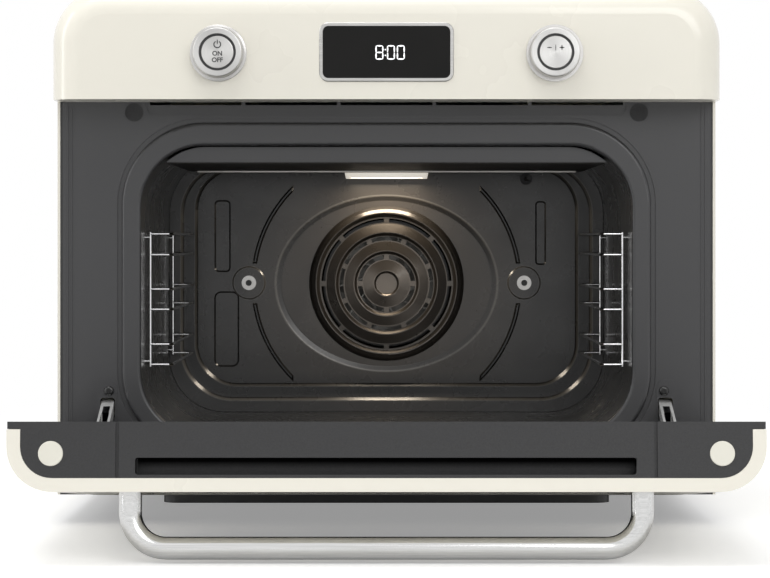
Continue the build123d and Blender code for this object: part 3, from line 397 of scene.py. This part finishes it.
# the collars' dark colour is painted shade in the groove round the button
collarLook = {"colour": (0.62, 0.61, 0.59), "shade": (0.48, 0.47, 0.46), "dark": (0.05, 0.05, 0.052),
              "x": knobX, "z": knobZ, "sleeve": 0.0138}
heaterLook = {"colour": (0.10, 0.093, 0.085), "shade": (0.06, 0.056, 0.052), "grain": (0.3, 0.3, 0.3),
              "rough": 0.4, "bump": 0.1}
wheelLook = {"colour": (0.30, 0.29, 0.27), "shade": (0.12, 0.115, 0.105)}
ceilingLook = {"colour": (0.020, 0.019, 0.018), "warm": (0.032, 0.029, 0.025), "fleck": (0.16, 0.15, 0.14),
               "rough": 0.62, "coat": 0.0}
plugLook = {"colour": (0.80, 0.78, 0.69), "shade": (0.77, 0.75, 0.66), "grain": 700.0, "rough": 0.45,
            "bump": 0.08}
# the cavity's warm colour is a painted sheen round the fan
cavityLook = {"colour": (0.022, 0.021, 0.020), "warm": (0.045, 0.04, 0.034), "fleck": (0.2, 0.19, 0.17),
              "rough": 0.26, "coat": 0.25}
handleLook = {"colour": (0.74, 0.74, 0.735), "shade": (0.62, 0.62, 0.615), "grain": (0.02, 1.0, 1.0),
              "rough": 0.13, "bump": 0.08}
bezelLook = {"colour": (0.52, 0.515, 0.50), "shade": (0.42, 0.415, 0.405), "grain": (0.03, 1.0, 1.0),
             "rough": 0.3, "bump": 0.12}
# the knobs' turn sets where their painted sheen falls
knobLook = {"colour": (0.66, 0.655, 0.64), "shade": (0.50, 0.495, 0.485), "line": (0.45, 0.445, 0.435),
            "turn": 0.6}
chromeLook = {"colour": (0.86, 0.86, 0.86), "shade": (0.72, 0.72, 0.73), "rough": 0.12}
zincLook = {"colour": (0.60, 0.61, 0.62), "shade": (0.42, 0.43, 0.44)}
rubberLook = {"colour": (0.022, 0.022, 0.023), "shade": (0.035, 0.035, 0.036), "grain": 900.0, "rough": 0.75,
              "bump": 0.25}
blackLook = {"colour": (0.03, 0.03, 0.031), "shade": (0.045, 0.045, 0.046), "grain": 800.0, "rough": 0.55,
             "bump": 0.15}
displayLook = {"colour": (0.010, 0.010, 0.0095), "shade": (0.013, 0.0125, 0.012), "clear": 0.0,
               "shine": 0.12}
doorGlassLook = {"colour": (0.07, 0.07, 0.072), "shade": (0.08, 0.08, 0.082), "clear": 0.35, "shine": 0.5}
innerGlassLook = {"colour": (0.55, 0.56, 0.55), "shade": (0.5, 0.51, 0.5), "clear": 0.8, "shine": 0.5}
lampLook = {"colour": (0.93, 0.89, 0.80), "edge": (0.72, 0.66, 0.54), "glow": 0.6,
            "half": 0.036}
# the arm's darkest colour is painted shade inside the channel
armLook = {"colour": (0.92, 0.92, 0.91), "shade": (0.80, 0.80, 0.79), "rough": 0.2, "metal": 0.55,
           "paintedShade": (0.015, 0.015, 0.015), "x": 0.2114, "half": 0.0022, "end": -0.1595}
# the screws' dark colour is painted shade in the hex socket
screwLook = {"colour": (0.62, 0.61, 0.59), "shade": (0.42, 0.41, 0.40), "dark": (0.015, 0.015, 0.015),
             "x": screwX, "z": screwZ, "sleeve": 0.0025}
glossLook = {"colour": (0.012, 0.012, 0.012), "shade": (0.02, 0.02, 0.02), "grain": 300.0, "rough": 0.16,
             "bump": 0.02}
digitLook = {"colour": (0.86, 0.87, 0.88), "shade": (0.7, 0.71, 0.72), "glow": 0.8}
markLook = {"colour": (0.03, 0.03, 0.03), "shade": (0.05, 0.05, 0.05), "grain": 900.0, "rough": 0.5,
            "bump": 0.1}
woolLook = {"colour": (0.72, 0.68, 0.55), "shade": (0.6, 0.56, 0.44), "grain": 400.0, "rough": 0.9,
           "bump": 0.8}
boardLook = {"colour": (0.03, 0.16, 0.07), "shade": (0.02, 0.11, 0.05), "grain": 500.0, "rough": 0.5,
             "bump": 0.1}

cream = bakedEnamel("creamEnamel", creamLook)
dark = bakedEnamel("darkEnamel", darkLook)
cavity = cavityEnamel("cavityEnamel", cavityLook)
ceiling = cavityEnamel("ceilingEnamel", ceilingLook)
heaterSteel = brushedSteel("heaterSteel", heaterLook)
wheelSteel = zincSheet("wheelSteel", wheelLook)
fanFinish = fanEnamel("fanEnamel", fanLook)
backFinish = backWall("backEnamel", backLook)
doorDark = slottedMoulding("doorMoulding", doorLook)
collars = collarSteel("collarSteel", collarLook)
handleSteel = brushedSteel("handleSteel", handleLook)
bezelSteel = brushedSteel("bezelSteel", bezelLook)
knobLeft = turnedSteel("knobSteelLeft", {**knobLook, "x": -knobX})
knobRight = turnedSteel("knobSteelRight", {**knobLook, "x": knobX})
chrome = chromeWire("chromeWire", chromeLook)
zinc = zincSheet("zincSheet", zincLook)
rubber = mouldedPlastic("blackRubber", rubberLook)
blackPlastic = mouldedPlastic("blackPlastic", blackLook)
plugPlastic = mouldedPlastic("plugPlastic", plugLook)
displayGlass = polishedGlass("displayGlass", displayLook)
doorGlass = polishedGlass("doorGlass", doorGlassLook)
innerGlass = polishedGlass("innerGlass", innerGlassLook)
lampLens = lampGlass("lampLens", lampLook)
armSteel = channelSteel("armSteel", armLook)
screwSteel = collarSteel("screwSteel", screwLook)
glossBlack = mouldedPlastic("glossBlack", glossLook)
digitGlow = glowPlastic("digitGlow", digitLook)
markInk = mouldedPlastic("markInk", markLook)
wool = mouldedPlastic("mineralWool", woolLook)
board = mouldedPlastic("circuitBoard", boardLook)
print("finishes made:", len(bpy.data.materials))

finishes = {
    cream: ["outer_wrap", "rear_cover", "control_panel", "door_skin"],
    dark: ["front_frame", "base_plate"],
    doorDark: ["door_core"],
    cavity: ["cavity_liner", "fan_drum"],
    ceiling: ["ceiling_plate"],
    heaterSteel: ["ring_heater", "top_heater", "bottom_heater"],
    wheelSteel: ["fan_impeller"],
    backFinish: ["cavity_back"],
    fanFinish: ["fan_cover"],
    collars: ["knob_collars"],
    handleSteel: ["handle_bar", "handle_corners"],
    bezelSteel: ["display_bezel", "fan_shaft"],
    chrome: ["side_rack_left", "side_rack_right", "case_screws"],
    armSteel: ["hinge_arm_left", "hinge_arm_right"],
    screwSteel: ["back_screws"],
    glossBlack: ["frame_screws"],
    zinc: ["lamp_housing", "fan_motor", "air_duct", "blower_housing", "blower_motor",
           "blower_rotor", "hinge_brackets"],
    rubber: ["feet", "door_bumpers", "door_seal"],
    blackPlastic: ["mains_inlet", "encoders", "temperature_probe"],
    plugPlastic: ["door_plugs"],
    displayGlass: ["display_glass"],
    doorGlass: ["door_outer_glass"],
    innerGlass: ["door_inner_glass"],
    lampLens: ["lamp_lens"],
    wool: ["insulation"],
    board: ["control_board", "power_board"],
    knobLeft: ["knob_ring_left", "knob_button_left"],
    knobRight: ["knob_ring_right", "knob_button_right"],
}
for finish, nodes in finishes.items():
    for node in nodes:
        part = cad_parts[node]
        part.data.materials.clear()
        part.data.materials.append(finish)
print("finishes given to the frame's nodes")


# Modelling helpers

upright = math.pi / 2
hexagon = 0.866  # a hexagon's width across its flats, for a diameter of 1


def clearSelection():
    bpy.ops.object.select_all(action="DESELECT")


def named(piece, name, finish, body):
    piece.name = name
    piece.data.name = name
    piece.data.materials.clear()
    piece.data.materials.append(finish)
    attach(piece, body)
    return piece


def settle(piece):
    # the place goes into the mesh
    clearSelection()
    piece.select_set(True)
    bpy.context.view_layer.objects.active = piece
    bpy.ops.object.transform_apply(location=True, rotation=True, scale=True)
    return piece


def joined(pieces):
    clearSelection()
    for piece in pieces:
        piece.select_set(True)
    bpy.context.view_layer.objects.active = pieces[0]
    bpy.ops.object.join()
    return settle(pieces[0])


def pickVertices(piece, test):
    # edit mode with only the vertices that pass
    bpy.ops.object.mode_set(mode="EDIT")
    bpy.ops.mesh.select_mode(type="VERT")
    bpy.ops.mesh.select_all(action="DESELECT")
    shape = bmesh.from_edit_mesh(piece.data)
    for vertex in shape.verts:
        vertex.select = test(vertex.co)
    shape.select_flush(True)
    bmesh.update_edit_mesh(piece.data)


def disc(vertices, radius, depth):
    # upright disc that faces the viewer
    clearSelection()
    bpy.ops.mesh.primitive_cylinder_add(vertices=vertices, radius=radius, depth=depth, location=(0, 0, 0),
                                        rotation=(upright, 0, 0))
    return settle(bpy.context.object)


def drawOut(piece, reach):
    # the left half goes left and the right half goes right
    for side in (-1, 1):
        pickVertices(piece, lambda co: co.x * side > 1e-6)
        bpy.ops.transform.translate(value=(side * reach, 0, 0))
        bpy.ops.object.mode_set(mode="OBJECT")


def bar(centre, length, width, depth, turn=0.0):
    # pointed bar in the XZ plane, drawn out from a six sided disc
    piece = disc(6, width / 2 / hexagon, depth)
    drawOut(piece, max((length - width) / 2, 0.0))
    piece.rotation_euler = (0, turn, 0)
    piece.location = centre
    return settle(piece)


# Clock on the display

clock = {"faceY": -0.20075, "midZ": 0.35415, "height": 10.75 * mm, "width": 6.0 * mm, "stroke": 1.0 * mm,
         "thick": 0.12 * mm, "gap": 0.35, "digits": (("8", -5.25), ("0", 3.3), ("0", 10.6)),
         "colonX": -0.9, "colonZ": 2.1 * mm}
segmentsOf = {"8": "abcdefg", "0": "abcdef"}


def digit(text, midX):
    h = clock["height"] / 2 - clock["stroke"] / 2
    w = clock["width"] / 2 - clock["stroke"] / 2
    gap = clock["stroke"] * clock["gap"]
    places = {
        "a": (0, h, False), "g": (0, 0, False), "d": (0, -h, False), "f": (-w, h / 2, True),
        "b": (w, h / 2, True), "e": (-w, -h / 2, True), "c": (w, -h / 2, True)}
    made = []
    for key in segmentsOf[text]:
        x, z, stands = places[key]
        centre = (midX + x, clock["faceY"], clock["midZ"] + z)
        length = (h if stands else 2 * w) - gap
        made.append(bar(centre, length, clock["stroke"], clock["thick"], upright if stands else 0.0))
    return made


segments = []
for text, midX in clock["digits"]:
    segments += digit(text, midX * mm)
for side in (-1, 1):
    dot = (clock["colonX"] * mm, clock["faceY"], clock["midZ"] + side * clock["colonZ"])
    segments.append(bar(dot, clock["stroke"], clock["stroke"], clock["thick"]))
named(joined(segments), "clock_digits", digitGlow, "casing")
print("clock made")


# Marks on the two buttons

marks = {"faceY": -0.21325, "thick": 0.12 * mm, "line": 0.85 * mm, "letters": 4.7 * mm, "bold": 0.14 * mm,
         "ringZ": 5.6 * mm, "ringR": 2.9 * mm, "ringGap": 0.42, "stem": 3.4 * mm, "stemZ": 7.5 * mm,
         "onZ": -1.2 * mm, "offZ": -6.0 * mm, "setZ": 3.3 * mm, "setX": 4.6 * mm, "minus": 3.4 * mm,
         "plus": 3.6 * mm, "divider": 4.4 * mm, "fine": 0.6}


def onFace(x, z):
    return (x, marks["faceY"], knobZ + z)


def stroke(x, z, length, width=marks["line"], turn=0.0):
    return bar(onFace(x, z), length, width, marks["thick"], turn)


def markText(words, x, z):
    clearSelection()
    bpy.ops.object.text_add(location=onFace(x, z), rotation=(upright, 0, 0))
    piece = bpy.context.object
    piece.data.body = words
    piece.data.size = marks["letters"]
    piece.data.align_x = "CENTER"
    piece.data.align_y = "CENTER"
    piece.data.extrude = marks["thick"] / 2
    piece.data.offset = marks["bold"]
    bpy.ops.object.convert(target="MESH")
    return settle(bpy.context.object)


def powerRing(x, z):
    # open ring of the power sign: a circle with its top taken out, widened and thickened
    clearSelection()
    bpy.ops.mesh.primitive_circle_add(vertices=48, radius=marks["ringR"], fill_type="NOTHING",
                                      rotation=(upright, 0, 0))
    piece = settle(bpy.context.object)
    pickVertices(piece, lambda co: co.z > 0 and abs(co.x) < marks["ringR"] * marks["ringGap"])
    bpy.ops.mesh.delete(type="VERT")
    bpy.ops.mesh.select_all(action="SELECT")
    inner = 1 - marks["line"] / marks["ringR"]
    bpy.ops.mesh.extrude_region_move()
    bpy.ops.transform.resize(value=(inner, 1, inner), center_override=(0, 0, 0))
    bpy.ops.object.mode_set(mode="OBJECT")
    thick = piece.modifiers.new("thick", "SOLIDIFY")
    thick.thickness = marks["thick"]
    thick.offset = 0.0
    bpy.ops.object.modifier_apply(modifier="thick")
    piece.location = onFace(x, z)
    return settle(piece)


signPieces = [
    powerRing(-knobX, marks["ringZ"]),
    stroke(-knobX, marks["stemZ"], marks["stem"], turn=upright),
    markText("ON", -knobX, marks["onZ"]),
    markText("OFF", -knobX, marks["offZ"]),
]
named(joined(signPieces), "power_sign", markInk, "button_left")
setPieces = [
    stroke(knobX - marks["setX"], marks["setZ"], marks["minus"]),
    stroke(knobX + marks["setX"], marks["setZ"], marks["plus"]),
    stroke(knobX + marks["setX"], marks["setZ"], marks["plus"], turn=upright),
    stroke(knobX, marks["setZ"], marks["divider"], marks["line"] * marks["fine"], upright),
]
named(joined(setPieces), "setting_marks", markInk, "button_right")
print("button marks made")


# Step in the cavity's ceiling in front of the lamp: a thin folded lip that catches its light

lip = {"half": 160.0 * mm, "y": 0.0985, "top": 0.2735, "drop": 1.5 * mm, "thick": 1.1 * mm,
       "edge": 0.3 * mm}
lipLook = {"colour": (0.60, 0.585, 0.55), "shade": (0.48, 0.465, 0.435), "grain": (0.02, 1.0, 1.0),
           "rough": 0.34, "bump": 0.1}


def ceilingLip():
    clearSelection()
    bpy.ops.mesh.primitive_cube_add(size=1.0, location=(0, lip["y"], lip["top"] - lip["drop"] / 2),
                                    scale=(2 * lip["half"], lip["thick"], lip["drop"]))
    piece = settle(bpy.context.object)
    pickVertices(piece, lambda co: co.z < lip["top"] - lip["drop"] / 2)
    bpy.ops.mesh.bevel(offset=lip["edge"], segments=3, affect="EDGES")
    bpy.ops.object.mode_set(mode="OBJECT")
    return piece


named(ceilingLip(), "ceiling_lip", brushedSteel("lipSteel", lipLook), "casing")
print("ceiling lip made")


# Visor: closes the gap between the ceiling and the ring round the mouth, with the ring's own rounding

visor = {"half": 0.1366, "round": 46.6 * mm, "roundZ": 0.2392, "y": -0.1478, "thick": 0.7 * mm, "low": 0.2742}


def ceilingVisor():
    piece = disc(128, visor["round"], visor["thick"])
    drawOut(piece, visor["half"])
    piece.location = (0, visor["y"], visor["roundZ"])
    settle(piece)
    bpy.ops.object.mode_set(mode="EDIT")
    bpy.ops.mesh.select_all(action="SELECT")
    bpy.ops.mesh.bisect(plane_co=(0, visor["y"], visor["low"]), plane_no=(0, 0, 1), use_fill=True,
                        clear_inner=True)
    bpy.ops.object.mode_set(mode="OBJECT")
    return piece


named(ceilingVisor(), "ceiling_visor", dark, "casing")
print("ceiling visor made")


# Studio: floor, world, lamps and camera

studio = {"floorSize": 14.0, "floor": (0.9, 0.9, 0.9), "floorCloud": (0.92, 0.92, 0.92), "lift": 0.3,
          "nearFloor": 0.75, "farFloor": 1.5, "world": 0.62, "seenWorld": 1.0}
lamps = {
    "topLamp": {"power": 19.0, "size": (1.6, 1.2), "place": (-0.3, -0.7, 2.2), "aim": (0, -0.1, 0.2)},
    "frontLamp": {"power": 13.0, "size": (1.4, 1.0), "place": (0.9, -2.4, 1.2), "aim": (0, -0.2, 0.2)},
    "rimLamp": {"power": 7.0, "size": (0.4, 1.6), "place": (-1.9, -0.6, 0.9), "aim": (0, -0.1, 0.2)},
    "ovenLamp": {"power": 0.12, "size": (0.06, 0.02), "place": (0, 0.112, 0.2665), "aim": (0, 0.09, 0.1),
                 "colour": (1.0, 0.87, 0.7)},
}
view = {"lens": 133.3, "eye": (0.0, -2.3156, 0.215), "shiftX": -0.00195, "shiftY": -0.0636}


def floorFinish():
    # pale sheet that fades into the white of the room a step away from the object
    g = Graph("paleFloor")
    place = g.place()
    cloud = g.blend(g.noise(place, 3.0, 3.0), 0.0, 1.0)
    away = g.apart(g.part("X", place), g.part("Y", place))
    g.finish(Base_Color=g.tint(cloud, studio, "floor", "floorCloud"), Roughness=0.85, Specular_IOR_Level=0.0)
    ray = g.node("ShaderNodeLightPath", output=0)
    lift = g.node("ShaderNodeEmission", {}, {"Color": (1, 1, 1, 1), "Strength": ray * studio["lift"]})
    lit = g.node("ShaderNodeAddShader", {}, {0: Wire(g, g.shader.outputs[0]), 1: lift})
    clear = g.node("ShaderNodeBsdfTransparent")
    fade = g.spread(away, studio["nearFloor"], studio["farFloor"], 0.0, 1.0)
    blend = g.node("ShaderNodeMixShader", {}, {0: fade, 1: lit, 2: clear})
    g.feed(g.tree.nodes["Material Output"].inputs["Surface"], blend)
    return g.material


clearSelection()
bpy.ops.mesh.primitive_plane_add(size=studio["floorSize"], location=(0, 0, 0))
floor = bpy.context.object
floor.name = "floor"
floor.data.materials.append(floorFinish())

world = bpy.data.worlds.new("studioWorld")
bpy.context.scene.world = world
world.use_nodes = True
sky = world.node_tree
lightPath = sky.nodes.new("ShaderNodeLightPath")
seen = None
for ray in ("Is Camera Ray", "Is Glossy Ray", "Is Transmission Ray"):
    either = sky.nodes.new("ShaderNodeMath")
    either.operation = "MAXIMUM"
    either.inputs[1].default_value = 0.0
    sky.links.new(lightPath.outputs[ray], either.inputs[0])
    if seen:
        sky.links.new(seen.outputs[0], either.inputs[1])
    seen = either
strength = sky.nodes.new("ShaderNodeMapRange")
strength.inputs["To Min"].default_value = studio["world"]
strength.inputs["To Max"].default_value = studio["seenWorld"]
sky.links.new(seen.outputs[0], strength.inputs["Value"])
back = sky.nodes["Background"]
back.inputs["Color"].default_value = (1, 1, 1, 1)
sky.links.new(strength.outputs[0], back.inputs["Strength"])


for name, settings in lamps.items():
    clearSelection()
    bpy.ops.object.light_add(type="AREA", location=settings["place"])
    lamp = bpy.context.object
    lamp.name = name
    lamp.data.shape = "RECTANGLE"
    lamp.data.size, lamp.data.size_y = settings["size"]
    lamp.data.energy = settings["power"]
    lamp.data.color = settings.get("colour", (1.0, 1.0, 1.0))
    direction = Vector(settings["aim"]) - Vector(settings["place"])
    lamp.rotation_euler = direction.to_track_quat("-Z", "Y").to_euler()

clearSelection()
bpy.ops.object.camera_add(location=view["eye"], rotation=(upright, 0, 0))
camera = bpy.context.object
camera.data.lens = view["lens"]
camera.data.shift_x = view["shiftX"]
camera.data.shift_y = view["shiftY"]
camera.data.clip_end = 100.0
bpy.context.scene.camera = camera
bpy.context.scene.view_settings.view_transform = "Standard"
print("studio set")
